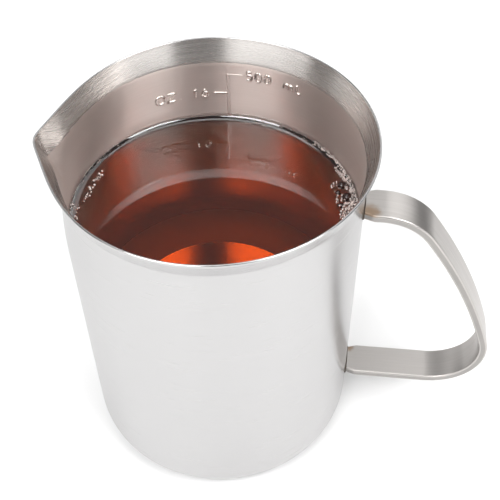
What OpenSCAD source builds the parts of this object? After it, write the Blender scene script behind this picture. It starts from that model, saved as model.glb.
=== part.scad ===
// Stainless pouring pot for melting candle wax: a deep-drawn cup with a flared
// rim and a pressed spout, and a flat-bar handle welded to its side.
// Millimetres, +Z up. The origin is the centre of the flat base, on the axis
// of the cup. The handle points along +X.

/* [Cup] */
// Outside diameter of the straight wall
body_d = 81.6; // [70:0.2:100]
// Height of the rim above the surface that the pot stands on
body_h = 111.4; // [100:0.2:130]
// Thickness of the drawn sheet
wall = 0.6; // [0.5:0.1:1]
// Outside radius where the wall turns into the base
base_corner_r = 10; // [6:0.5:14]

/* [Rim and spout] */
// Height of the flared band below the rim
flare_h = 7; // [5:0.5:9]
// How far the flared band leans out at the rim
flare_out = 2.8; // [1.5:0.1:4]
// Direction of the spout, where 180 is straight opposite the handle
spout_azimuth = 186; // [170:1:190]
// How far the spout stands out from the pulled-in rim
spout_pull = 4; // [2:0.1:6]
// How far the rim is pulled in on both sides of the spout
side_pull = 2.2; // [1:0.1:3]
// How far the rim dips around the spout
rim_dip = 0.8; // [0:0.1:1.5]

/* [Handle] */
// Width of the flat bar
bar_w = 10.4; // [8:0.2:14]
// Thickness of the flat bar
bar_t = 2.4; // [2:0.1:3]
// Height of the middle of the bar at the upper joint
upper_z = 91.6; // [86:0.2:94]
// Height of the middle of the bar at the lower joint
lower_z = 20.4; // [17:0.2:24]
// Length of the flat run before the upper bend
upper_run = 5.2; // [4:0.2:10]
// Angle of the bowed grip below the horizontal, at its upper end
grip_start = 55; // [52:0.5:62]
// Angle of the bowed grip below the horizontal, at its lower end
grip_end = 72.5; // [66:0.5:76]
// Angle by which the lower run rises away from the cup
lower_rise = 1.6; // [0:0.1:4]
// Middle radius of the upper bend
upper_bend_r = 16.4; // [14:0.2:20]
// Middle radius of the lower bend
lower_bend_r = 16.2; // [14:0.2:20]

/* [Welds] */
// Height and width of the bead around each end of the bar
bead = 0.9; // [0.6:0.1:1.4]

/* [Hidden] */
$fn = 96;
body_r = body_d / 2;
crease_z = body_h - flare_h;

// The cup is a true surface of revolution up to this depth below the crease, and
// lofted above it. The loft starts a little lower, just inside both faces of the sheet.
loft_depth = 22;
loft_z = crease_z - loft_depth;
seam_lap = 0.5;
seam_inset = 0.03;
fine_half = 30;
fine_step = 1.5;
coarse_step = 3;
// Shares of the side pull and of the spout pull that reach the crease
crease_side_share = 0.6;
crease_pull_share = 0.9;
// Widths, in degrees, of the pulled-in sides and of the spout
side_width = 60;
spout_width_rim = 10;
spout_width_crease = 7;
// Roundness, in degrees, of the channel at the rim and at the crease
channel_round_rim = 4;
channel_round_crease = 1.5;
// How fast the channel fades below the crease
channel_fade = 7;

// Corners of the bar are cut back over this length and depth at each end.
end_cut_len = 3;
end_cut_depth = 1;
// The bar starts inside the wall's radius, and the cylinder of the wall trims it.
start_inside = 3;
// The bar's route, in the XZ plane: a flat run, a bend, the bowed grip, a bend and the
// lower run. A heading is the angle below +X in which the bar runs on.
lower_heading = 180 - lower_rise;
upper_centre = [body_r + upper_run, upper_z - upper_bend_r];
grip_top = upper_centre + upper_bend_r * outward(grip_start);
grip_chord = outward(grip_end) - outward(grip_start);
lower_chord = outward(lower_heading) - outward(grip_end);
// The grip bows by the radius that brings the lower run to its height at the wall.
grip_r = (lower_z - at_wall(grip_top - [body_r, 0] + lower_bend_r * lower_chord)) / at_wall(grip_chord);
grip_centre = grip_top - grip_r * outward(grip_start);
lower_centre = grip_top + grip_r * grip_chord - lower_bend_r * outward(grip_end);
lower_end = lower_centre + lower_bend_r * outward(lower_heading);
lower_run = (lower_end.x - body_r + start_inside) / cos(lower_rise);
bend_steps = 20;

// ---- Cup -------------------------------------------------------------------

// Half outline of a round-cornered cup of radius r, with its floor at z0
module cup_outline(r, corner, z0, top) {
    translate([0, z0]) square([r - corner, top - z0]);
    translate([0, z0 + corner]) square([r, top - z0 - corner]);
    intersection() {
        translate([r - corner, z0 + corner]) circle(corner);
        translate([0, z0]) square([r, corner]);
    }
}

module drawn_cup() {
    rotate_extrude()
        difference() {
            cup_outline(body_r, base_corner_r, 0, loft_z);
            cup_outline(body_r - wall, base_corner_r - wall, wall, loft_z + 1);
        }
}

// Angles around the cup from the middle of the spout, closer together near it
function spout_angles() = concat(
    [for (a = [-fine_half : fine_step : fine_half - fine_step]) a],
    [for (a = [fine_half : coarse_step : 360 - fine_half - coarse_step]) a]
);

// Angle from the middle of the spout, folded into -180 to 180
function from_spout(a) = a > 180 ? a - 360 : a;

// Weight that falls smoothly from 1 at the spout to 0 away from it
function sides(a) = exp(-pow(from_spout(a) / side_width, 2));
function channel(a, width, round) =
    exp((round - sqrt(pow(from_spout(a), 2) + round * round)) / width);

// How far the wall is moved outwards at the rim and at the crease
function rim_shift(a) =
    spout_pull * channel(a, spout_width_rim, channel_round_rim) - side_pull * sides(a);
function crease_shift(a, below) =
    spout_pull * crease_pull_share * channel(a, spout_width_crease, channel_round_crease)
        * exp(-below / channel_fade) * fade(below)
    - side_pull * crease_side_share * sides(a) * fade(below);

// Weight that falls from 1 at the crease to 0 where the loft meets the drawn cup
function fade(below) = pow(cos(90 * min(1, below / loft_depth)), 2);

// Depths below the crease of the lofted rings
ring_depths = [loft_depth + seam_lap, loft_depth, 18, 14, 10.5, 7.5, 5, 2.5, 0];

// How far a ring keeps inside the face of the sheet, where the loft meets the drawn cup
function seam(below) = below < loft_depth ? 0 : seam_inset;

// Points round the wall at a depth below the crease, and round the rim
function wall_ring(below, inset) =
    [for (a = spout_angles()) ring_point(a, body_r + crease_shift(a, below) - inset, crease_z - below)];
function rim_ring(inset) =
    [for (a = spout_angles()) ring_point(a, body_r + flare_out + rim_shift(a) - inset,
        body_h - rim_dip * sides(a))];
function ring_point(a, r, z) = [r * cos(a + spout_azimuth), r * sin(a + spout_azimuth), z];

// Up the outside, over the rim and down the inside
function loft_rings() = concat(
    [for (below = ring_depths) wall_ring(below, seam(below))],
    [rim_ring(0), rim_ring(wall)],
    [for (i = [len(ring_depths) - 1 : -1 : 0])
        wall_ring(ring_depths[i], wall - seam(ring_depths[i]))]
);

module lofted_rim() {
    rings = loft_rings();
    n = len(spout_angles());
    count = len(rings);
    polyhedron(
        points = [for (ring = rings) for (p = ring) p],
        faces = [for (k = [0 : count - 1]) for (i = [0 : n - 1]) for (half = [0, 1])
            let (a = k * n + i, b = k * n + (i + 1) % n,
                 c = ((k + 1) % count) * n + (i + 1) % n, d = ((k + 1) % count) * n + i)
            half == 0 ? [a, c, b] : [a, d, c]]
    );
}

module pot_body() {
    color("gainsboro") {
        drawn_cup();
        lofted_rim();
    }
}

// ---- Handle ----------------------------------------------------------------

// Unit vectors along a heading, and square to it on the outside of the bends
function along(heading) = [cos(heading), -sin(heading)];
function outward(heading) = [sin(heading), cos(heading)];

// Height at which the lower run's slope, drawn back from a point, meets the YZ plane
function at_wall(point) = point.y - point.x * tan(lower_rise);

// Points round a bend, at a radius, after its first point and up to its last
function bend_points(centre, radius, from, to) =
    [for (i = [1 : bend_steps]) centre + radius * outward(from + (to - from) * i / bend_steps)];

// One face of the bar, offset outwards from its middle line
function bar_side(offset) = concat(
    [[body_r - start_inside, upper_z + offset], [body_r + upper_run, upper_z + offset]],
    bend_points(upper_centre, upper_bend_r + offset, 0, grip_start),
    bend_points(grip_centre, grip_r + offset, grip_start, grip_end),
    bend_points(lower_centre, lower_bend_r + offset, grip_end, lower_heading),
    [lower_end + offset * outward(lower_heading) + lower_run * along(lower_heading)]
);

function reversed(list) = [for (i = [len(list) - 1 : -1 : 0]) list[i]];

module bent_bar() {
    rotate([90, 0, 0]) linear_extrude(bar_w, center = true)
        polygon(concat(bar_side(bar_t / 2), reversed(bar_side(-bar_t / 2))));
}

// What the straight wall takes out of a piece that is fitted against it
module wall_cut() {
    cylinder(r = body_r, h = body_h, $fn = 360);
}

// Seen from above, the bar's ends narrow towards the wall.
module bar_plan() {
    end_w = bar_w / 2 - end_cut_depth;
    full_x = body_r + end_cut_len;
    near_x = body_r - start_inside - 1;
    far_x = lower_centre.x + 2 * lower_bend_r;
    side = bar_w / 2 + 1;
    cut_slope = end_cut_depth / end_cut_len;
    polygon([[near_x, -end_w], [body_r, -end_w], [full_x + 1 / cut_slope, -side], [far_x, -side],
        [far_x, side], [full_x + 1 / cut_slope, side], [body_r, end_w], [near_x, end_w]]);
}

module cut_bar() {
    intersection() {
        bent_bar();
        linear_extrude(body_h) bar_plan();
    }
}

module handle_strap() {
    color("silver")
        difference() {
            cut_bar();
            wall_cut();
        }
}

// ---- Welds -----------------------------------------------------------------

// Outline of a bead round the end of the bar, with its corners cut off
module bead_outline() {
    half_w = bar_w / 2 - end_cut_depth + bead;
    half_t = bar_t / 2 + bead;
    polygon([[-half_w, -half_t + bead], [-half_w + bead, -half_t], [half_w - bead, -half_t],
        [half_w, -half_t + bead], [half_w, half_t - bead], [half_w - bead, half_t],
        [-half_w + bead, half_t], [-half_w, half_t - bead]]);
}

// A bead that runs round one end of the bar, against the wall
module weld(z, rise) {
    difference() {
        translate([body_r, 0, z]) rotate([0, -rise, 0]) translate([-1, 0, 0])
            rotate([90, 0, 90]) linear_extrude(1 + bead) bead_outline();
        wall_cut();
        cut_bar();
    }
}

module upper_weld() {
    color("darkgray") weld(upper_z, 0);
}

module lower_weld() {
    color("darkgray") weld(lower_z, lower_rise);
}

pot_body();
handle_strap();
upper_weld();
lower_weld();
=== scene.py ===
"""A small stainless pouring pot for melting wax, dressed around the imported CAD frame.

All lengths in the classes are millimetres; metres() turns them into Blender's metres. The row frame is
the part's own: the origin is the centre of the flat base, +Z is up and the handle points along +X.
"""

import enum
import logging
import math
import random
from collections.abc import Iterable, Sequence
from dataclasses import dataclass, field

import bmesh
import bpy
from mathutils import Matrix, Vector


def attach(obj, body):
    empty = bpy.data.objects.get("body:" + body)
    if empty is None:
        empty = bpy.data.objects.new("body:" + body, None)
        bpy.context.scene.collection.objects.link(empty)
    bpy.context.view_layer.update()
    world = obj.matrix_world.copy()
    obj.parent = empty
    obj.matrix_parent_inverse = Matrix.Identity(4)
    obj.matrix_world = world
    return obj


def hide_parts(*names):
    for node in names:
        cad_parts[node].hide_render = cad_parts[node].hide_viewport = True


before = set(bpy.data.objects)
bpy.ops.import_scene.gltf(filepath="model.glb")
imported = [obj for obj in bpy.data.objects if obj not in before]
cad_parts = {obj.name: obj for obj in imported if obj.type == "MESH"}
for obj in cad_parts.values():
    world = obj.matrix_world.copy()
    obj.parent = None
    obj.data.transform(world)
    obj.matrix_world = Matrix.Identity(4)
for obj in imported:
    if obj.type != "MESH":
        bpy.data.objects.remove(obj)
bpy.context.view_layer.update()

LOG = logging.getLogger("melting_pot")
MM = 0.001
BODY = "root"
# Height that the lights are aimed at
AIM_HEIGHT = 60.0
# Radius, in metres, at which the brushed lines round the cup have their real length
WALL_RADIUS_M = 0.04
# Nearly all of a noise texture's values lie between these two
NOISE_SPREAD = {"From Min": 0.3, "From Max": 0.7}

Point = tuple[float, float, float]
Flat = tuple[float, float]
Piece = bpy.types.Object
Material = bpy.types.Material
Tree = bpy.types.NodeTree
Socket = bpy.types.NodeSocket
Values = dict[str | int, object]
Links = dict[str | int, Socket]


# ---- Small helpers ---------------------------------------------------------


def metres(point: Iterable[float]) -> Vector:
    """Turns a point in millimetres into a Vector in metres."""
    return Vector([value * MM for value in point])


def polar(radius: float, azimuth: float, height: float) -> Point:
    """Gives the point at a radius, an azimuth in degrees and a height."""
    angle = math.radians(azimuth)
    return radius * math.cos(angle), radius * math.sin(angle), height


def linear(colour: str) -> tuple[float, float, float, float]:
    """Turns an sRGB hex colour into linear RGBA.

    Args:
        colour: Six hex digits, such as "E3E1DE".

    Returns:
        The same colour in linear light, with an alpha of 1.
    """
    shares = [int(colour[i : i + 2], 16) / 255 for i in (0, 2, 4)]
    red, green, blue = (
        share / 12.92 if share <= 0.04045 else ((share + 0.055) / 1.055) ** 2.4 for share in shares
    )
    return red, green, blue, 1.0


def steps(start: float, stop: float, count: int) -> list[float]:
    """Gives count + 1 even steps from start to stop, both included."""
    return [start + (stop - start) * i / count for i in range(count + 1)]


def smooth_noise(angle: float, seed: int, waves: int = 5) -> float:
    """Gives a smooth wander between about -1 and 1 that closes on itself in a turn.

    Args:
        angle: Where on the turn, in radians.
        seed: Chooses the wander.
        waves: How many waves are added up.

    Returns:
        The wander at that angle.
    """
    draw = random.Random(seed)
    usual_peak = 1.6
    total = 0.0
    for wave in range(1, waves + 1):
        total += math.sin(wave * angle + draw.uniform(0, math.tau)) / wave
    return total / usual_peak


def rounded_outline(half_width: float, half_height: float, radius: float, count: int) -> list[Flat]:
    """Gives a rectangle's outline with rounded corners, from its right side on.

    Args:
        half_width: Half of its width.
        half_height: Half of its height.
        radius: Radius of its corners.
        count: Steps round each corner.

    Returns:
        The points of the outline.
    """
    points = []
    for side, up, start in ((1, 1, 0), (-1, 1, 90), (-1, -1, 180), (1, -1, 270)):
        for turn in steps(start, start + 90, count):
            across = side * (half_width - radius) + radius * math.cos(math.radians(turn))
            points.append((across, up * (half_height - radius) + radius * math.sin(math.radians(turn))))
    return points


def direction(points: Sequence[Flat], before: int, after: int) -> Vector:
    """Gives the unit vector from one point of a line to another."""
    start, stop = points[before], points[after]
    return Vector((stop[0] - start[0], stop[1] - start[1])).normalized()


@dataclass
class MeshBuilder:
    """Collects points and faces in millimetres and turns them into one object."""

    points: list[Point] = field(default_factory=list)
    faces: list[list[int]] = field(default_factory=list)
    finishes: list[int] = field(default_factory=list)
    finish: int = 0

    def face(self, indices: list[int]) -> None:
        """Adds a face in the finish that is set at the time."""
        self.faces.append(indices)
        self.finishes.append(self.finish)

    def ring(self, points: Sequence[Point]) -> list[int]:
        """Adds points and returns their indices."""
        start = len(self.points)
        self.points.extend(points)
        return list(range(start, len(self.points)))

    def bridge(self, first: Sequence[int], second: Sequence[int]) -> None:
        """Joins two closed rings of the same length with quads.

        Args:
            first: Indices of one ring.
            second: Indices of the next ring.
        """
        count = len(first)
        for i in range(count):
            j = (i + 1) % count
            self.face([first[i], first[j], second[j], second[i]])

    def loft(self, rings: Sequence[Sequence[int]]) -> None:
        """Joins each ring to the next one."""
        for first, second in zip(rings, rings[1:]):
            self.bridge(first, second)

    def fan(self, ring: Sequence[int], centre: Point, flip: bool = False) -> None:
        """Closes a ring with triangles that meet in a centre point.

        Args:
            ring: Indices of the ring.
            centre: The point in which they meet.
            flip: Whether they look the other way.
        """
        middle = self.ring([centre])[0]
        for i, index in enumerate(ring):
            face = [index, ring[(i + 1) % len(ring)], middle]
            self.face(face[::-1] if flip else face)

    def cap(self, ring: Sequence[int], flip: bool = False) -> None:
        """Closes a ring with a single face."""
        self.face(list(ring)[::-1] if flip else list(ring))

    def build(
        self, name: str, materials: Sequence[Material], smooth: bool = True, keep_sides: bool = False
    ) -> Piece:
        """Makes the object, with its faces' finishes.

        Args:
            name: The piece's name.
            materials: The finishes, in the order of the numbers that the faces carry.
            smooth: Whether its faces are shaded smooth.
            keep_sides: Whether the faces already look the right way, as in a film's two faces.

        Returns:
            The new object, linked to the scene.
        """
        mesh = bpy.data.meshes.new(name)
        mesh.from_pydata([metres(point) for point in self.points], [], self.faces)
        work = bmesh.new()
        work.from_mesh(mesh)
        if not keep_sides:
            bmesh.ops.recalc_face_normals(work, faces=work.faces)
        work.faces.ensure_lookup_table()
        for face, finish in zip(work.faces, self.finishes):
            face.smooth = smooth
            face.material_index = finish
        work.to_mesh(mesh)
        work.free()
        for material in materials:
            mesh.materials.append(material)
        piece = bpy.data.objects.new(name, mesh)
        bpy.context.scene.collection.objects.link(piece)
        return piece


def weighted_normals(piece: Piece) -> None:
    """Lets the large flats of a piece keep their own normals beside its rounded edges."""
    modifier = piece.modifiers.new("weighted_normals", "WEIGHTED_NORMAL")
    modifier.keep_sharp = True
    modifier.weight = 80


def place(piece: Piece, slot: str, *nodes: str) -> Piece:
    """Lets a piece ride on the pot's body and stand for CAD nodes, which it hides."""
    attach(piece, BODY)
    if nodes:
        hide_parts(*nodes)
    return piece


# ---- Materials -------------------------------------------------------------


def add_node(
    tree: Tree,
    kind: str,
    settings: dict[str, object] | None = None,
    values: Values | None = None,
    links: Links | None = None,
) -> bpy.types.Node:
    """Adds a node with its settings, socket values and incoming links.

    Args:
        tree: The node tree that gets the node.
        kind: Blender's node type, without the ShaderNode in front of it.
        settings: Properties of the node itself.
        values: Values of its input sockets.
        links: Output sockets that feed its input sockets.

    Returns:
        The new node.
    """
    node = tree.nodes.new("ShaderNode" + kind)
    for name, value in (settings or {}).items():
        setattr(node, name, value)
    for socket, value in (values or {}).items():
        node.inputs[socket].default_value = value
    for socket, source in (links or {}).items():
        tree.links.new(source, node.inputs[socket])
    return node


def new_material(name: str) -> tuple[Material, Tree]:
    """Makes an empty node material."""
    material = bpy.data.materials.new(name)
    material.use_nodes = True
    material.node_tree.nodes.clear()
    return material, material.node_tree


def finished(
    material: Material, values: Values, links: Links | None = None, volume: Socket | None = None
) -> Material:
    """Ends a material with its surface shader and its output.

    Args:
        material: The material to end.
        values: Values of the shader's input sockets.
        links: Output sockets that feed the shader.
        volume: What takes up light inside the body, where light goes through it.

    Returns:
        The same material.
    """
    tree = material.node_tree
    shader = add_node(tree, "BsdfPrincipled", values=values, links=links)
    ends: Links = {"Surface": shader.outputs["BSDF"]}
    if volume is not None:
        ends["Volume"] = volume
    add_node(tree, "OutputMaterial", links=ends)
    return material


class Grain(enum.Enum):
    """Which way the polishing lines of a steel surface run."""

    ROUND_THE_AXIS = "round"
    ALONG_THE_BAR = "along"


@dataclass(frozen=True)
class BrushedSteel:
    """AISI 304 stainless sheet, brushed with a fine belt.

    The brushing spreads reflections across the lines, which gives soft broad bands of light, and the lines
    themselves show as faint streaks. Stainless reflects slightly warm, and a metal keeps the default IOR.
    The diffuse share is the part of the light that the surface scatters as a pale matt coat instead of
    reflecting it as metal. On the corner under the melt it is painted reflection: the lamps above light that
    pale coat up as the bright arc at the bottom of the melt.
    """

    name: str
    colour: str
    streak_colour: str
    roughness: float
    grain: Grain = Grain.ROUND_THE_AXIS
    line_pitch: float = 0.45
    line_length: float = 25.0
    streak: float = 0.2
    bump: float = 0.0
    anisotropy: float = 0.0
    rough_range: float = 0.01
    # Share of the surface that scatters as a pale matt coat instead of reflecting as metal; on the corner
    # under the melt it is painted reflection.
    diffuse_share: float = 0.0
    # Painted shade on the wetted wall: the heights over which it grows, and its dark red-brown colour.
    shade_from: float = 0.0
    shade_to: float = 0.0
    shade_colour: str = "52281E"
    tint_spots: tuple[tuple[Point, float], ...] = ()
    tint_colour: str = "8A6A45"
    tint_strength: float = 0.0
    tint_cloud: float = 2.5
    tint_wander: float = 3.0

    def lines(self, tree: Tree) -> Socket:
        """Makes the brushed lines as a value from 0 to 1.

        Args:
            tree: The material's node tree.

        Returns:
            The socket that carries the lines.
        """
        vector = add_node(tree, "TexCoord").outputs["Object"]
        across, along = 1 / (self.line_pitch * MM), 1 / (self.line_length * MM)
        scale = (along, across, along)
        if self.grain is Grain.ROUND_THE_AXIS:
            axes = add_node(tree, "SeparateXYZ", links={0: vector}).outputs
            back = [
                add_node(tree, "Math", {"operation": "MULTIPLY"}, {1: -1.0}, {0: axes[axis]})
                for axis in "YX"
            ]
            turn = add_node(
                tree,
                "Math",
                {"operation": "ARCTAN2"},
                links={i: node.outputs[0] for i, node in enumerate(back)},
            ).outputs[0]
            flat = add_node(tree, "CombineXYZ", links={"X": axes["X"], "Y": axes["Y"]})
            radius = add_node(
                tree, "VectorMath", {"operation": "LENGTH"}, links={0: flat.outputs[0]}
            ).outputs["Value"]
            level = add_node(
                tree, "Math", {"operation": "SUBTRACT"}, links={0: axes["Z"], 1: radius}
            ).outputs[0]
            vector = add_node(tree, "CombineXYZ", links={"X": turn, "Y": level}).outputs[0]
            scale = (WALL_RADIUS_M * along, across, 1.0)
        stretched = add_node(
            tree, "VectorMath", {"operation": "MULTIPLY"}, {1: scale}, {0: vector}
        ).outputs[0]
        return add_node(
            tree,
            "TexNoise",
            {"noise_dimensions": "3D"},
            {"Scale": 1.0, "Detail": 4.0, "Roughness": 0.6},
            {"Vector": stretched},
        ).outputs["Fac"]

    def tint(self, tree: Tree) -> Socket:
        """Makes the straw and brown heat tint round the weld points, from 0 to 1.

        Args:
            tree: The material's node tree.

        Returns:
            The socket that carries the tint.
        """
        place_in = add_node(tree, "TexCoord").outputs["Object"]
        cloud = add_node(
            tree,
            "TexNoise",
            values={"Scale": 1 / (self.tint_cloud * MM), "Detail": 3.0},
            links={"Vector": place_in},
        ).outputs["Fac"]
        wander = add_node(
            tree,
            "Math",
            {"operation": "MULTIPLY_ADD"},
            {1: self.tint_wander * MM, 2: -self.tint_wander / 2 * MM},
            {0: cloud},
        ).outputs[0]
        nearest: Socket | None = None
        for spot, reach in self.tint_spots:
            gap = add_node(
                tree, "VectorMath", {"operation": "DISTANCE"}, {1: metres(spot)}, {0: place_in}
            ).outputs["Value"]
            uneven = add_node(tree, "Math", {"operation": "ADD"}, links={0: gap, 1: wander})
            near = add_node(
                tree,
                "MapRange",
                {"interpolation_type": "SMOOTHSTEP"},
                {"From Min": 0.2 * reach * MM, "From Max": reach * MM, "To Min": 1.0, "To Max": 0.0},
                {"Value": uneven.outputs[0]},
            ).outputs[0]
            if nearest is not None:
                links = {0: nearest, 1: near}
                near = add_node(tree, "Math", {"operation": "MAXIMUM"}, links=links).outputs[0]
            nearest = near
        return add_node(
            tree, "Math", {"operation": "MULTIPLY"}, {1: self.tint_strength}, {0: nearest}
        ).outputs[0]

    def painted_shade(self, tree: Tree) -> Socket:
        """Makes the painted shade on the wetted wall, from 0 to 1: it darkens the wall from a little below
        the melt's level up to where the melt meets it, for the dark ring at the edge of the melt.

        Args:
            tree: The material's node tree.

        Returns:
            The socket that carries the stain.
        """
        place_in = add_node(tree, "TexCoord").outputs["Object"]
        return add_node(
            tree,
            "MapRange",
            {"interpolation_type": "SMOOTHSTEP"},
            {"From Min": self.shade_from * MM, "From Max": self.shade_to * MM},
            {"Value": add_node(tree, "SeparateXYZ", links={0: place_in}).outputs["Z"]},
        ).outputs[0]

    def layers(self, tree: Tree, lines: Socket) -> list[tuple[Socket, str]]:
        """Gives what lies over the bare colour, from the streaks up.

        Args:
            tree: The material's node tree.
            lines: The socket that carries the brushed lines.

        Returns:
            Each layer's share, as a socket, and its colour.
        """
        streaks = add_node(
            tree,
            "MapRange",
            values=NOISE_SPREAD | {"To Min": 0.0, "To Max": self.streak},
            links={"Value": lines},
        ).outputs[0]
        layers = [(streaks, self.streak_colour)]
        if self.tint_spots:
            layers.append((self.tint(tree), self.tint_colour))
        # Painted shade on the wetted wall near the edge of the melt.
        if self.shade_to > self.shade_from:
            layers.append((self.painted_shade(tree), self.shade_colour))
        return layers

    def build(self) -> Material:
        """Makes the material."""
        material, tree = new_material(self.name)
        lines = self.lines(tree)
        colour: Socket | None = None
        for share, layer_colour in self.layers(tree, lines):
            links = {0: share} if colour is None else {0: share, 6: colour}
            mixed = {6: linear(self.colour), 7: linear(layer_colour)}
            colour = add_node(tree, "Mix", {"data_type": "RGBA"}, mixed, links).outputs[2]
        low, high = self.roughness - self.rough_range, self.roughness + self.rough_range
        roughness = add_node(
            tree, "MapRange", values=NOISE_SPREAD | {"To Min": low, "To Max": high}, links={"Value": lines}
        ).outputs[0]
        normal = add_node(
            tree, "Bump", values={"Strength": self.bump, "Distance": 0.02 * MM}, links={"Height": lines}
        ).outputs["Normal"]
        values: Values = {
            "Metallic": 1.0 - self.diffuse_share, "Anisotropic": self.anisotropy, "Anisotropic Rotation": 0.25
        }
        links = {"Base Color": colour, "Roughness": roughness, "Normal": normal}
        if self.grain is Grain.ROUND_THE_AXIS:
            links["Tangent"] = add_node(
                tree, "Tangent", {"direction_type": "RADIAL", "axis": "Z"}
            ).outputs[0]
        return finished(material, values, links)


@dataclass(frozen=True)
class ClearMelt:
    """Melted wax coloured with amber dye: a clear oily liquid.

    Light is taken up on its way through, so shallow paths look orange and deep ones dark red-brown. Its IOR
    is that of paraffin oil, under a thin skin that has begun to set and reflects more.
    """

    name: str = "amber_melt"
    colour: str = "EFC61A"
    density_per_m: float = 40.0
    ior: float = 1.5
    skin_ior: float = 1.55

    def build(self) -> Material:
        """Makes the material."""
        material, tree = new_material(self.name)
        depth = add_node(
            tree, "VolumeAbsorption", values={"Color": linear(self.colour), "Density": self.density_per_m}
        )
        values: Values = {
            "Base Color": linear("FFFFFF"),
            "Roughness": 0.0,
            "IOR": self.ior,
            "Specular IOR Level": 1.0,
            "Transmission Weight": 1.0,
            "Coat Weight": 1.0,
            "Coat Roughness": 0.0,
            "Coat IOR": self.skin_ior,
        }
        return finished(material, values, volume=depth.outputs["Volume"])


@dataclass(frozen=True)
class BubbleFilm:
    """The thin wet films of melted wax round bubbles.

    Froth scatters light and looks slightly milky. A large bubble's film shows the dark melt through it.
    """

    name: str
    colour: str
    transmission: float
    ior: float = 1.4

    def build(self) -> Material:
        """Makes the material."""
        values: Values = {
            "Base Color": linear(self.colour),
            "Roughness": 0.03,
            "IOR": self.ior,
            "Specular IOR Level": 1.0,
            "Transmission Weight": self.transmission,
        }
        return finished(new_material(self.name)[0], values)


@dataclass(frozen=True)
class MattPaint:
    """A matt emulsion on a studio board, which spreads light evenly and hardly shines."""

    name: str
    colour: str
    roughness: float = 0.9

    def build(self) -> Material:
        """Makes the material."""
        values: Values = {
            "Base Color": linear(self.colour), "Roughness": self.roughness, "Specular IOR Level": 0.2
        }
        return finished(new_material(self.name)[0], values)


# ---- The cup ---------------------------------------------------------------


class CupFinish(enum.IntEnum):
    """The cup's finishes, in the order of its material slots."""

    OUTSIDE = 0
    INSIDE = 1
    BAND = 2
    WETTED = 3
    CORNER = 4
    SCALE = 5
    BASE = 6


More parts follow.
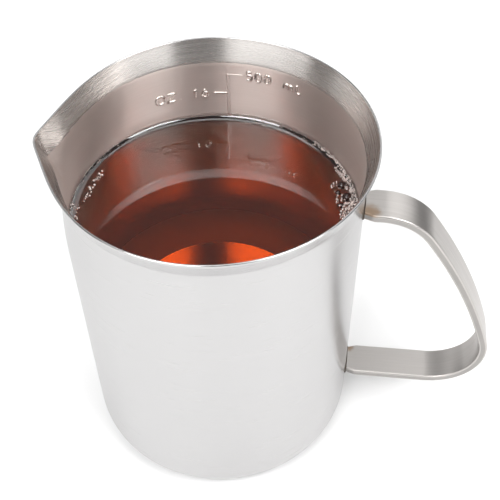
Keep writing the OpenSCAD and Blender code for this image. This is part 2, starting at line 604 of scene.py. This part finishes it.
@dataclass
class Cup:
    """The drawn cup with its flared band, spout and pressed scale, as one sheet."""

    radius: float = 40.8
    height: float = 111.4
    wall: float = 0.6
    corner: float = 10.0
    flare_height: float = 7.0
    flare_out: float = 2.8
    spout_azimuth: float = 186.0
    spout_pull: float = 4.0
    side_pull: float = 2.2
    rim_dip: float = 0.8
    crease_side_share: float = 0.6
    crease_pull_share: float = 0.9
    side_width: float = 60.0
    rim_channel: Flat = (10.0, 4.0)
    crease_channel: Flat = (7.0, 1.5)
    channel_fade: float = 7.0
    loft_depth: float = 22.0
    crease_round: float = 0.9
    floor_shares: tuple[float, ...] = (0.8, 0.6, 0.4, 0.2, 0.08)

    @property
    def crease(self) -> float:
        """Height of the crease below the flared band."""
        return self.height - self.flare_height

    @property
    def inner_radius(self) -> float:
        """Inside radius of the straight wall."""
        return self.radius - self.wall

    def angles(self) -> list[float]:
        """Gives the angles round the cup from the middle of the spout, closer together near it."""
        spans = ((-26.0, 26.0, 0.5), (26.0, 50.0, 1.0), (50.0, 310.0, 1.5), (310.0, 334.0, 1.0))
        angles = [spans[0][0]]
        for start, stop, pitch in spans:
            angles += steps(start, stop, round((stop - start) / pitch))[1:]
        return angles[:-1]

    def sides(self, angle: float) -> float:
        """Weight that falls smoothly from 1 at the spout to 0 away from it."""
        return math.exp(-((self.folded(angle) / self.side_width) ** 2))

    @staticmethod
    def folded(angle: float) -> float:
        """Folds an angle into -180 to 180."""
        return (angle + 180) % 360 - 180

    def channel(self, angle: float, shape: Flat) -> float:
        """Height of the spout's channel at an angle, for a (width, roundness) in degrees."""
        width, roundness = shape
        return math.exp((roundness - math.hypot(self.folded(angle), roundness)) / width)

    def rim_shift(self, angle: float) -> float:
        """How far the rim is moved outwards at an angle."""
        return self.spout_pull * self.channel(angle, self.rim_channel) - self.side_pull * self.sides(angle)

    def wall_shift(self, angle: float, below: float) -> float:
        """How far the wall is moved outwards at a depth below the crease.

        Args:
            angle: Degrees from the middle of the spout.
            below: Depth below the crease.

        Returns:
            The shift in millimetres.
        """
        if below >= self.loft_depth:
            return 0.0
        fade = math.cos(math.radians(90 * below / self.loft_depth)) ** 2
        pull = self.spout_pull * self.crease_pull_share * self.channel(angle, self.crease_channel)
        return fade * (
            pull * math.exp(-below / self.channel_fade)
            - self.side_pull * self.crease_side_share * self.sides(angle)
        )

    def profile(self, angle: float, inset: float) -> list[Flat]:
        """Gives (radius, height) up one face of the sheet, from the edge of the floor to the rim.

        Args:
            angle: Degrees from the middle of the spout.
            inset: 0 for the outside, the sheet's thickness for the inside.

        Returns:
            The points of the face's profile at that angle.
        """
        corner = self.corner - inset
        flat = self.radius - self.corner
        points = [
            (flat + corner * math.sin(turn), inset + corner * (1 - math.cos(turn)))
            for turn in steps(0, math.pi / 2, 12)
        ]
        points += [(self.radius - inset, z) for z in steps(self.corner, self.crease - self.loft_depth, 8)[1:]]
        for below in steps(self.loft_depth, self.crease_round, 18)[1:]:
            points.append((self.radius + self.wall_shift(angle, below) - inset, self.crease - below))
        start = points[-1]
        bend = (self.radius + self.wall_shift(angle, 0) - inset, self.crease)
        rim = (self.rim(angle)[0] - inset, self.rim(angle)[1])
        share = self.crease_round / self.flare_height
        end = tuple(b + share * (r - b) for b, r in zip(bend, rim))
        for t in steps(0, 1, 5)[1:]:
            weights = ((1 - t) ** 2, 2 * t * (1 - t), t * t)
            points.append(
                tuple(weights[0] * s + weights[1] * b + weights[2] * e for s, b, e in zip(start, bend, end))
            )
        points += [tuple(e + t * (r - e) for e, r in zip(end, rim)) for t in steps(0, 1, 6)[1:]]
        return points

    def lip(self, angle: float) -> list[Flat]:
        """Gives the rounded edge of the sheet over the rim, between its two faces.

        Args:
            angle: Degrees from the middle of the spout.

        Returns:
            Its points as (radius, height).
        """
        radius, height = self.rim(angle)
        half = self.wall / 2
        return [
            (radius - half + half * math.cos(turn), height + half * math.sin(turn))
            for turn in steps(0, math.pi, 6)[1:-1]
        ]

    def rim(self, angle: float) -> Flat:
        """Gives the last point of the outside face, just below the rounded edge."""
        return (
            self.radius + self.flare_out + self.rim_shift(angle),
            self.height - self.rim_dip * self.sides(angle) - self.wall / 2,
        )

    def finish_between(self, heights: Sequence[float], outside: bool, filled_to: float) -> CupFinish:
        """Chooses the finish of a ring of faces.

        Args:
            heights: Heights of the points on both of its edges.
            outside: Whether the ring is on the outer face of the sheet.
            filled_to: How high the melt wets the inner wall.

        Returns:
            The finish of those faces.
        """
        if outside:
            return CupFinish.OUTSIDE
        margin = 0.05
        if min(heights) > self.crease - margin:
            return CupFinish.BAND
        if max(heights) < self.corner + margin:
            return CupFinish.CORNER
        return CupFinish.WETTED if max(heights) < filled_to else CupFinish.INSIDE

    def build(self, finishes: dict[CupFinish, Material], scale: "PressedScale", filled_to: float) -> Piece:
        """Builds the sheet with its scale.

        Args:
            finishes: The material of each of the cup's finishes.
            scale: The scale pressed into the inner wall.
            filled_to: How high the melt wets the inner wall.

        Returns:
            The placed piece.
        """
        mesh = MeshBuilder()
        angles = self.angles()
        columns = [self.profile(a, 0.0) + self.lip(a) + self.profile(a, self.wall)[::-1] for a in angles]
        levels = list(zip(*columns))
        rings = [
            mesh.ring([polar(r, a + self.spout_azimuth, z) for a, (r, z) in zip(angles, level)])
            for level in levels
        ]
        for i, (first, second) in enumerate(zip(rings, rings[1:])):
            heights = [z for _, z in levels[i] + levels[i + 1]]
            mesh.finish = self.finish_between(heights, 2 * i < len(rings) + 2, filled_to)
            mesh.bridge(first, second)
        floor = self.radius - self.corner
        for ring, height, flip in ((rings[0], 0.0, True), (rings[-1], self.wall, False)):
            mesh.finish = CupFinish.OUTSIDE if flip else CupFinish.BASE
            previous = ring
            for share in self.floor_shares:
                inner = mesh.ring([polar(floor * share, a + self.spout_azimuth, height) for a in angles])
                mesh.bridge(previous, inner)
                previous = inner
            mesh.fan(previous, (0.0, 0.0, height), flip)
        mesh.finish = CupFinish.SCALE
        scale.add_to(mesh, self)
        piece = mesh.build("pot_body", [finishes[finish] for finish in CupFinish])
        return place(piece, "body_steel", "pot_body")


@dataclass
class PressedScale:
    """The scale pressed into the inner wall: a line, two ticks and their generic lettering.

    A position is (along, height): along runs to the right round the inner wall, from the line.
    """

    azimuth: float = 92.0
    top: float = 100.6
    lower: float = 93.8
    bottom: float = 85.4
    letter_height: float = 2.9
    letter_width: float = 1.9
    stroke: float = 0.8
    rise: float = 0.45
    tick: float = 4.4
    line_gap: float = 0.36
    line_share: float = 0.3
    end_share: float = 0.55
    spacing: float = 0.45
    rib_sides: int = 8

    @staticmethod
    def arc(centre: Flat, radii: Flat, start: float, stop: float, count: int = 14) -> list[Flat]:
        """Gives points along an elliptic arc, with its angles in degrees."""
        turns = [math.radians(turn) for turn in steps(start, stop, count)]
        return [(centre[0] + radii[0] * math.cos(t), centre[1] + radii[1] * math.sin(t)) for t in turns]

    def glyph(self, letter: str) -> list[list[Flat]]:
        """Gives a letter's strokes in a box 1 wide and 1 high.

        Args:
            letter: The letter, the figure or the point.

        Returns:
            The path of each stroke.
        """
        strokes = {
            "0": [self.arc((0.5, 0.5), (0.46, 0.5), 90, 450, 28)],
            "O": [self.arc((0.5, 0.5), (0.52, 0.5), 90, 450, 28)],
            "1": [[(0.2, 0.72), (0.55, 1.0), (0.55, 0.0)]],
            "5": [[(0.9, 1.0), (0.2, 1.0), (0.14, 0.56)] + self.arc((0.44, 0.32), (0.46, 0.32), 120, -140)],
            "6": [
                self.arc((0.5, 0.32), (0.42, 0.32), 180, -180, 24),
                self.arc((0.86, 0.3), (0.78, 0.72), 108, 180, 10),
            ],
            "m": [
                [(0.08, 0.0), (0.08, 0.62)],
                [(0.08, 0.44)] + self.arc((0.33, 0.42), (0.23, 0.22), 160, 0, 8) + [(0.56, 0.0)],
                [(0.56, 0.44)] + self.arc((0.8, 0.42), (0.22, 0.22), 160, 0, 8) + [(1.02, 0.0)],
            ],
            "L": [[(0.1, 1.0), (0.1, 0.06), (0.85, 0.02)]],
            "Z": [[(0.05, 1.0), (0.92, 1.0), (0.05, 0.0), (0.95, 0.0)]],
            ".": [[(0.42, 0.04), (0.58, 0.04)]],
        }
        return strokes[letter]

    def lettering(self) -> list[tuple[str, float, float, float]]:
        """Gives each letter with its left edge, its foot and its width."""
        half = self.letter_height / 2
        upper, lower = self.top - half, self.lower - half
        width = self.letter_width
        return [
            ("5", 5.4, upper, width),
            ("0", 8.2, upper, width),
            ("0", 11.0, upper, width),
            ("m", 17.0, upper, 1.5 * width),
            ("L", 21.4, upper, 0.8 * width),
            ("1", -10.6, lower, 0.8 * width),
            ("6", -7.9, lower, width),
            (".", -14.9, lower, 0.6 * width),
            ("Z", -18.6, lower, 1.5 * width),
            ("O", -21.9, lower, 1.4 * width),
        ]

    def paths(self) -> list[list[Flat]]:
        """Gives every stroke of the scale, with the line as the two ridges of its groove."""
        gap = self.line_gap
        paths = [
            [(-gap, self.bottom), (-gap, self.top), (self.tick, self.top)],
            [(gap, self.bottom), (gap, self.top)],
            [(-self.tick, self.lower), (-gap, self.lower)],
        ]
        for letter, left, foot, width in self.lettering():
            for stroke in self.glyph(letter):
                paths.append([(left + x * width, foot + y * self.letter_height) for x, y in stroke])
        return paths

    @staticmethod
    def resample(path: Sequence[Flat], spacing: float) -> list[Flat]:
        """Puts points along a path no further apart than a spacing.

        Args:
            path: The corners of the path.
            spacing: The largest gap between two points.

        Returns:
            The points along the path.
        """
        dense = [path[0]]
        for start, stop in zip(path, path[1:]):
            count = max(1, math.ceil(math.dist(start, stop) / spacing))
            dense += [
                (start[0] + (stop[0] - start[0]) * t, start[1] + (stop[1] - start[1]) * t)
                for t in steps(0, 1, count)[1:]
            ]
        return dense

    def add_to(self, mesh: MeshBuilder, cup: Cup) -> None:
        """Adds each stroke as a low round rib that grows out of the inner wall.

        Args:
            mesh: The cup's mesh.
            cup: The cup that carries the scale.
        """
        for number, path in enumerate(self.paths()):
            size = self.line_share if number < 2 else 1.0
            dense = self.resample(path, self.spacing)
            last = len(dense) - 1
            rings = []
            for i, (along, height) in enumerate(dense):
                way = direction(dense, max(i - 1, 0), min(i + 1, last))
                grow = size * (self.end_share if i in (0, last) else 1.0)
                ring = []
                for turn in steps(0, math.tau, self.rib_sides)[:-1]:
                    side = grow * self.stroke / 2 * math.cos(turn)
                    lift = grow * self.rise * math.sin(turn)
                    z = height + side * way.x
                    spot = self.azimuth - math.degrees((along - side * way.y) / cup.inner_radius)
                    shift = cup.wall_shift(spot - cup.spout_azimuth, cup.crease - z)
                    ring.append(polar(cup.inner_radius + shift - lift, spot, z))
                rings.append(mesh.ring(ring))
            mesh.loft(rings)
            mesh.cap(rings[0])
            mesh.cap(rings[-1], True)


# ---- The handle and its welds ----------------------------------------------


@dataclass
class Strap:
    """The flat bar of the handle: an upper run, a bend, the grip, a bend and a lower run."""

    cup: Cup
    width: float = 10.4
    thickness: float = 2.4
    edge: float = 0.55
    upper: float = 91.6
    lower: float = 20.4
    upper_run: float = 5.2
    grip_start: float = 55.0
    grip_end: float = 72.5
    rise: float = 1.6
    upper_bend: float = 16.4
    lower_bend: float = 16.2
    cut_length: float = 3.0
    cut_depth: float = 1.0
    inside_wall: float = 0.2
    start_inside: float = 1.5

    def route(self) -> list[Point]:
        """Gives the middle line as (x, z, heading), with the heading in degrees below +X."""
        turn = 180 - self.rise
        slope = Vector((math.tan(math.radians(self.rise)), -1.0))
        start = self.cup.radius - self.start_inside
        cut_x = self.cup.radius + self.cut_length
        first, second, third = (self.outward(heading) for heading in (self.grip_start, self.grip_end, turn))
        centre = Vector((self.cup.radius + self.upper_run, self.upper - self.upper_bend))
        top = centre + self.upper_bend * first
        chord = self.lower_bend * (third - second)
        joint = Vector((self.cup.radius, self.lower))
        grip = slope.dot(joint - top - chord) / slope.dot(second - first)
        bottom = top + grip * (second - first)
        line = [(x, self.upper, 0.0) for x in steps(start, cut_x, 6)]
        line += self.bend(centre, self.upper_bend, 0.0, self.grip_start)
        line += self.bend(top - grip * first, grip, self.grip_start, self.grip_end)[1:]
        line += self.bend(bottom - self.lower_bend * second, self.lower_bend, self.grip_end, turn)[1:]
        last_x, last_z, _ = line[-1]
        for x in steps(last_x, cut_x, 5)[1:-1] + steps(cut_x, start, 6):
            line.append((x, last_z - (last_x - x) * slope.x, turn))
        return line

    @staticmethod
    def outward(heading: float) -> Vector:
        """Unit vector square to a heading, on the outside of the bends."""
        turn = math.radians(heading)
        return Vector((math.sin(turn), math.cos(turn)))

    def bend(self, centre: Vector, radius: float, start: float, stop: float) -> list[Point]:
        """Gives the middle line round a bend.

        Args:
            centre: The middle of the bend.
            radius: Its middle radius.
            start: The heading before it.
            stop: The heading after it.

        Returns:
            Its points as (x, z, heading).
        """
        line = []
        for heading in steps(start, stop, 28):
            spot = centre + radius * self.outward(heading)
            line.append((spot.x, spot.y, heading))
        return line

    def half_width(self, x: float) -> float:
        """Half the bar's width at a distance from the cup's axis, where the ends narrow."""
        from_wall = x - self.cup.radius
        if from_wall >= self.cut_length:
            return self.width / 2
        return self.width / 2 - self.cut_depth * (1 - max(from_wall, 0.0) / self.cut_length)

    def build(self, steel: Material, edge_steel: Material) -> Piece:
        """Builds the bar, with its ends cut to the round of the wall.

        Args:
            steel: The finish of the bar's wide faces and rounded edges.
            edge_steel: The darker copy of the bar's steel on its two narrow side faces: painted shade on
                them.

        Returns:
            The placed piece.
        """
        mesh = MeshBuilder()
        rings = []
        section = rounded_outline(self.width / 2, self.thickness / 2, self.edge, 5)
        stop = self.cup.radius - self.inside_wall
        for x, z, heading in self.route():
            outward = self.outward(heading)
            share = self.half_width(x) / (self.width / 2)
            ring = []
            for across, out in section:
                side = across * share
                px, pz = x + out * outward[0], z + out * outward[1]
                wall_x = math.sqrt(stop**2 - side**2)
                ring.append((max(px, wall_x), side, pz))
            rings.append(mesh.ring(ring))
        mesh.loft(rings)
        count = len(section)
        # The two narrow side faces take the darker copy of the steel: painted shade on them.
        sides = (count // 2 - 1, count - 1)
        mesh.finishes = [int(i % count in sides) for i in range(len(mesh.finishes))]
        mesh.cap(rings[0])
        mesh.cap(rings[-1], True)
        piece = mesh.build("handle_strap", [steel, edge_steel])
        weighted_normals(piece)
        return place(piece, "handle_steel", "handle_strap")


@dataclass
class Weld:
    """A bead of weld metal round one end of the bar, thicker where it was tacked."""

    strap: Strap
    name: str
    height: float
    rise: float
    seed: int
    bead: float = 0.38
    tack: float = 0.32
    tack_from: float = 0.75
    tack_gain: float = 4.0
    ripple: float = 0.06
    ripples: int = 34
    rough: float = 0.05
    spacing: float = 0.2

    def size(self, turn: float, corner: float) -> float:
        """Gives the bead's radius.

        Args:
            turn: Where on the way round the bar, in radians.
            corner: How far out to the side, from 0 at the middle to 1 at the bar's edge.

        Returns:
            The radius there.
        """
        tack = self.tack * max(0.0, corner - self.tack_from) * self.tack_gain
        size = self.bead + tack * (0.7 + 0.3 * smooth_noise(turn, self.seed))
        ripple = self.ripple * abs(math.sin(self.ripples * turn / 2))
        return size + (ripple + self.rough * smooth_noise(turn, self.seed + 1, 9))

    def build(self, metal: Material) -> Piece:
        """Builds the bead.

        Args:
            metal: The finish of the weld metal.

        Returns:
            The placed piece.
        """
        mesh = MeshBuilder()
        half_width = self.strap.width / 2 - self.strap.cut_depth
        corners = rounded_outline(half_width, self.strap.thickness / 2, self.strap.edge, 6)
        outline = PressedScale.resample(corners + corners[:1], self.spacing)[:-1]
        radius = self.strap.cup.radius
        slope = math.tan(math.radians(self.rise))
        rings = []
        for i, (across, up) in enumerate(outline):
            way = direction(outline, i - 1, (i + 1) % len(outline))
            size = self.size(math.tau * i / len(outline), abs(across) / half_width)
            ring = []
            for spin in steps(0, math.tau, 12)[:-1]:
                beside = size * math.cos(spin)
                lift = 0.9 * size * math.sin(spin)
                y = across + beside * way.y
                x = math.sqrt(radius**2 - min(abs(y), radius) ** 2) + lift
                ring.append((x, y, self.height + up - beside * way.x + lift * slope))
            rings.append(mesh.ring(ring))
        mesh.loft(rings + rings[:1])
        piece = mesh.build(self.name, [metal])
        return place(piece, "weld_metal", self.name)


# ---- The melt --------------------------------------------------------------


@dataclass
class Melt:
    """The melted wax in the cup, with the curve that surface tension pulls up the wall."""

    cup: Cup
    level: float = 83.7
    capillary: float = 1.75
    contact_angle: float = 12.0
    wander: float = 0.25
    into_wall: float = 0.15
    still_radii: tuple[float, ...] = (22.0, 14.0, 6.0, 2.0)

    @property
    def climb(self) -> float:
        """How far the melt climbs up a vertical wall."""
        return self.capillary * math.sqrt(2 * (1 - math.sin(math.radians(self.contact_angle))))

    def gap(self, height: float) -> float:
        """Gives the distance from the wall at which the curved surface has a height.

        Args:
            height: The height above the level of the still surface.

        Returns:
            The distance, which is 0 where the surface meets the wall.
        """

        def reach(value: float) -> float:
            """Gives the curve's distance from an upright line, for a height."""
            ratio = 2 * self.capillary / value
            return self.capillary * math.acosh(ratio) - math.sqrt(4 * self.capillary**2 - value**2)

        return reach(height) - reach(self.climb)

    def surface_height(self, radius: float) -> float:
        """Finds the height of the surface, by halving the span of heights.

        Args:
            radius: Distance from the cup's axis.

        Returns:
            The height there.
        """
        wanted = max(self.cup.inner_radius - radius, 0.0)
        low, high = 1e-4, self.climb
        for _ in range(30):
            middle = (low + high) / 2
            low, high = (middle, high) if self.gap(middle) > wanted else (low, middle)
        return self.level + low

    def build(self, liquid: Material) -> Piece:
        """Builds the body of liquid as one closed form, just into the sheet's thickness.

        Args:
            liquid: The melt's finish.

        Returns:
            The placed piece.
        """
        mesh = MeshBuilder()
        turns = steps(0, 360, 240)[:-1]
        edge = self.cup.inner_radius + self.into_wall
        floor = self.cup.wall - self.into_wall
        corner = self.cup.corner - self.cup.wall + self.into_wall
        flat = self.cup.radius - self.cup.corner
        side: list[Flat] = [(0.05 * flat, floor), (0.5 * flat, floor)]
        side += [
            (flat + corner * math.sin(turn), floor + corner * (1 - math.cos(turn)))
            for turn in steps(0, math.pi / 2, 10)
        ]
        side += [(edge, z) for z in steps(floor + corner, self.level, 6)[1:]]
        top = [(edge, self.climb)]
        for lift in [self.climb * (1 - t) ** 1.6 for t in steps(0, 0.97, 22)]:
            top.append((self.cup.inner_radius - self.gap(lift), lift))
        top += [(radius, 0.0) for radius in self.still_radii]
        swell = [1 + self.wander * smooth_noise(math.radians(turn), 4, 7) / 2 for turn in turns]
        rings = [mesh.ring([polar(r, turn, z) for turn in turns]) for r, z in side]
        for radius, lift in top:
            ring = [polar(radius, turn, self.level + lift * share) for turn, share in zip(turns, swell)]
            rings.append(mesh.ring(ring))
        mesh.loft(rings)
        mesh.fan(rings[0], (0.0, 0.0, floor), True)
        mesh.fan(rings[-1], (0.0, 0.0, self.level))
        piece = mesh.build("melt", [liquid])
        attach(piece, BODY)
        return piece


@dataclass(frozen=True)
class Cluster:
    """A patch of bubbles: a span of azimuths, distances from the wall and radii."""

    azimuths: Flat
    gaps: Flat
    radii: Flat
    count: int


@dataclass
class Bubbles:
    """The froth that pouring left at the edge of the melt.

    Each large bubble is (azimuth, distance from the wall, radius).
    """

    melt: Melt
    clusters: tuple[Cluster, ...] = (
        Cluster((9.0, 50.0), (0.1, 0.9), (0.13, 0.26), 190),
        Cluster((9.0, 34.0), (0.8, 2.2), (0.13, 0.28), 120),
        Cluster((-4.0, 12.0), (1.2, 5.4), (0.15, 0.38), 150),
        Cluster((13.0, 26.0), (3.2, 6.0), (0.13, 0.3), 40),
        Cluster((50.0, 82.0), (0.2, 1.8), (0.08, 0.2), 60),
        Cluster((140.0, 172.0), (0.2, 0.9), (0.08, 0.2), 40),
        Cluster((160.0, 181.0), (3.0, 4.4), (0.18, 0.42), 26),
        Cluster((182.0, 202.0), (0.4, 2.6), (0.12, 0.3), 50),
    )
    large: tuple[Point, ...] = (
        (23.0, 2.7, 1.3),
        (15.6, 2.6, 1.45),
        (19.2, 4.6, 0.8),
        (11.0, 4.6, 0.8),
        (0.5, 2.4, 1.7),
        (-6.0, 4.2, 1.0),
    )
    film: float = 0.05
    sink: float = 0.5
    large_sink: float = 0.2
    sides: int = 8
    large_sides: int = 28
    seed: int = 21

    def ball(self, mesh: MeshBuilder, centre: Point, radius: float, sides: int, inward: bool) -> None:
        """Adds a ball made of rings between two poles.

        Args:
            mesh: The bubbles' mesh.
            centre: The middle of the ball.
            radius: Its radius.
            sides: How many faces go round it.
            inward: Whether it is the inner face of a film, which looks inwards.
        """
        x, y, z = centre
        spins = steps(0, math.tau, sides)[:-1]
        rings = []
        for turn in steps(0, math.pi, sides // 2)[1:-1]:
            reach, low = radius * math.sin(turn), z - radius * math.cos(turn)
            ring = mesh.ring([(x + reach * math.cos(s), y + reach * math.sin(s), low) for s in spins])
            rings.append(ring[::-1] if inward else ring)
        mesh.loft(rings)
        mesh.fan(rings[0], (x, y, z - radius), True)
        mesh.fan(rings[-1], (x, y, z + radius))

    def build(self, froth: Material, film: Material) -> Piece:
        """Builds every bubble, the large ones as hollow films.

        Args:
            froth: The finish of the small bubbles.
            film: The finish of the large ones.

        Returns:
            The placed piece.
        """
        draw = random.Random(self.seed)
        mesh = MeshBuilder()
        inner = self.melt.cup.inner_radius
        for cluster in self.clusters:
            for _ in range(cluster.count):
                radius = draw.uniform(*cluster.radii)
                gap = max(draw.uniform(*cluster.gaps), radius + 0.05)
                spot = inner - gap
                height = self.melt.surface_height(spot) + radius * (1 - self.sink)
                centre = polar(spot, draw.uniform(*cluster.azimuths), height)
                self.ball(mesh, centre, radius, self.sides, False)
        mesh.finish = 1
        for azimuth, gap, radius in self.large:
            spot = inner - gap
            height = self.melt.surface_height(spot) - self.large_sink * radius
            centre = polar(spot, azimuth, height)
            self.ball(mesh, centre, radius, self.large_sides, False)
            self.ball(mesh, centre, radius - self.film, self.large_sides, True)
        piece = mesh.build("bubbles", [froth, film], keep_sides=True)
        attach(piece, BODY)
        return piece


# ---- Studio ----------------------------------------------------------------


@dataclass(frozen=True)
class Panel:
    """A flat soft light that faces the pot.

    Its azimuth and elevation give the direction of its middle from the pot, in degrees.
    """

    name: str
    azimuth: float
    elevation: float
    distance: float
    size: Flat
    radiance: float

    def add(self) -> None:
        """Adds the panel as an area light that the camera doesn't see."""
        data = bpy.data.lights.new(self.name, "AREA")
        data.shape = "RECTANGLE"
        data.size, data.size_y = self.size[0] * MM, self.size[1] * MM
        data.energy = self.radiance * math.pi * data.size * data.size_y
        light = bpy.data.objects.new(self.name, data)
        rise = math.radians(self.elevation)
        light.location = metres(
            polar(self.distance * math.cos(rise), self.azimuth, AIM_HEIGHT + self.distance * math.sin(rise))
        )
        aim = metres((0.0, 0.0, AIM_HEIGHT)) - light.location
        light.rotation_euler = aim.to_track_quat("-Z", "Y").to_euler()
        light.visible_camera = False
        bpy.context.scene.collection.objects.link(light)


@dataclass
class Studio:
    """The pale table top, the soft lights and the camera."""

    camera_azimuth: float = -79.0
    camera_distance: float = 175.5
    camera_height: float = 264.2
    tilt_down: float = 48.23
    pan: float = -3.2
    roll: float = -0.86
    lens: float = 65.4
    room: float = 0.22
    floor_radius: float = 700.0
    floor_height: float = -0.05
    panels: tuple[Panel, ...] = (
        Panel("right_softbox", -29.5, 50.0, 700.0, (380.0, 300.0), 10.0),
        Panel("left_softbox", -118.0, 50.0, 700.0, (400.0, 300.0), 10.0),
        Panel("right_screen", -32.0, 4.0, 700.0, (590.0, 300.0), 1.9),
        Panel("left_screen", -121.0, 4.0, 700.0, (780.0, 300.0), 1.9),
        Panel("backdrop", 101.0, 22.0, 900.0, (1300.0, 640.0), 0.75),
        Panel("top_box", 101.0, 82.0, 900.0, (900.0, 500.0), 2.4),
        Panel("left_side", 165.0, 12.0, 800.0, (700.0, 450.0), 1.2),
        Panel("right_side", 58.0, 39.0, 800.0, (470.0, 540.0), 1.2),
    )

    def camera(self) -> None:
        """Sets the camera at the viewing angle."""
        data = bpy.data.cameras.new("camera")
        data.lens = self.lens
        data.sensor_width = 36.0
        data.clip_start = 0.01
        data.clip_end = 20.0
        camera = bpy.data.objects.new("camera", data)
        yaw = math.radians(self.camera_azimuth + 90 + self.pan)
        spin = (
            Matrix.Rotation(yaw, 4, "Z")
            @ Matrix.Rotation(math.radians(90 - self.tilt_down), 4, "X")
            @ Matrix.Rotation(math.radians(self.roll), 4, "Z")
        )
        spot = metres(polar(self.camera_distance, self.camera_azimuth, self.camera_height))
        camera.matrix_world = Matrix.Translation(spot) @ spin
        bpy.context.scene.collection.objects.link(camera)
        bpy.context.scene.camera = camera

    def world(self) -> None:
        """Fills the room with soft white light."""
        world = bpy.data.worlds.new("room")
        world.use_nodes = True
        back = world.node_tree.nodes["Background"]
        back.inputs["Color"].default_value = linear("FFFFFF")
        back.inputs["Strength"].default_value = self.room
        bpy.context.scene.world = world

    def floor(self) -> None:
        """Lays the pale round table top."""
        mesh = MeshBuilder()
        turns = steps(0, 360, 120)[:-1]
        mesh.cap(mesh.ring([polar(self.floor_radius, turn, self.floor_height) for turn in turns]))
        floor = mesh.build("floor", [MattPaint("white_board", "E9E9E9").build()], smooth=False)

    def build(self) -> None:
        """Sets up the studio."""
        self.camera()
        self.world()
        self.floor()
        for panel in self.panels:
            panel.add()
        bpy.context.scene.view_settings.view_transform = "Standard"


def corners(box: tuple[Vector, Vector]) -> list[list[float]]:
    """Turns a box into plain lists of numbers."""
    return [list(box[0]), list(box[1])]


def cup_finishes(melt: Melt) -> dict[CupFinish, Material]:
    """Makes the finishes of the sheet.

    Args:
        melt: The melt, whose level says where painted shade darkens the wetted wall.

    Returns:
        The material of each of the cup's finishes.
    """
    steels = {
        CupFinish.OUTSIDE: BrushedSteel(
            "satin_outer_steel", "BFBEBE", "B9B8B8", 0.27,
            line_pitch=0.35, streak=0.08, anisotropy=0.75, rough_range=0.005,
        ),
        # The corner under the melt: a pale coat that scatters most light instead of steel, which is painted
        # reflection: the lamps above light it up as the bright arc at the bottom of the melt.
        CupFinish.CORNER: BrushedSteel(
            "corner_painted_reflection_steel", "EAE4DF", "E0D9D3", 0.5, anisotropy=0.8, diffuse_share=0.85,
        ),
        CupFinish.BASE: BrushedSteel("wetted_base_steel", "D9D2CC", "CFC8C2", 0.13),
        CupFinish.SCALE: BrushedSteel("pressed_scale_steel", "E2DAD5", "D8D0CB", 0.28, streak=0.1),
        CupFinish.INSIDE: BrushedSteel(
            "satin_inner_steel", "D3C6C0", "C9BCB6", 0.5, anisotropy=0.85, rough_range=0.04,
        ),
        # The wetted wall, with painted shade from a little below the melt's level up to its edge, for the
        # dark ring there.
        CupFinish.WETTED: BrushedSteel(
            "wetted_steel", "D2CCC8", "C8C2BD", 0.24,
            diffuse_share=0.15, shade_from=melt.level - 3.0, shade_to=melt.level - 0.5,
        ),
        CupFinish.BAND: BrushedSteel(
            "brushed_band_steel", "D2CECB", "A8A29D", 0.27,
            line_pitch=0.3, line_length=20.0, streak=0.12, bump=0.03, anisotropy=0.75, rough_range=0.04,
        ),
    }
    return {finish: steel.build() for finish, steel in steels.items()}


def bar_finishes(strap: Strap) -> tuple[Material, Material]:
    """Makes the finishes of the bar.

    Args:
        strap: The bar, whose ends carry the heat tint of the welds.

    Returns:
        The material of its faces and the darker copy on its two narrow side faces, which is painted shade.
    """
    wall = strap.cup.radius
    upper_tint = ((wall + 1.5, -3.6, strap.upper + 1.2), 4.0)
    lower_tint = ((wall + 0.5, 3.8, strap.lower), 2.5)
    steel = BrushedSteel(
        "brushed_bar_steel", "BCB8B5", "ABA7A3", 0.36, Grain.ALONG_THE_BAR,
        line_pitch=0.5, line_length=20.0, streak=0.4, bump=0.12, rough_range=0.04,
        tint_spots=(upper_tint, lower_tint), tint_strength=0.7,
    )
    # A darker copy of the bar's steel for its two narrow side faces: painted shade on them.
    edge_steel = BrushedSteel(
        "painted_shade_side_steel", "A09D9A", "918E8B", 0.4, Grain.ALONG_THE_BAR,
        line_pitch=0.5, line_length=12.0, streak=0.4, bump=0.12, rough_range=0.04,
    )
    return steel.build(), edge_steel.build()


def main() -> None:
    """Builds the studio and every piece in order."""
    logging.basicConfig(level=logging.INFO, format="%(name)s: %(message)s")
    Studio().build()
    cup = Cup()
    strap = Strap(cup)
    melt = Melt(cup)
    weld_metal = BrushedSteel(
        "weld_metal", "5A524B", "40372F", 0.45,
        line_pitch=0.9, line_length=2.0, streak=0.8, bump=0.3, rough_range=0.04,
    ).build()
    froth = BubbleFilm("wax_froth", "F8EAE4", 0.5).build()
    film = BubbleFilm("wax_film", "2C120D", 0.3).build()
    pieces = [
        cup.build(cup_finishes(melt), PressedScale(), melt.level + melt.climb),
        strap.build(*bar_finishes(strap)),
        Weld(strap, "upper_weld", strap.upper, 0.0, seed=3).build(weld_metal),
        Weld(strap, "lower_weld", strap.lower, strap.rise, seed=8).build(weld_metal),
        melt.build(ClearMelt().build()),
        Bubbles(melt).build(froth, film),
    ]
    for piece in pieces:
        LOG.info("%s: %d faces", piece.name, len(piece.data.polygons))


if __name__ == "__main__":
    main()
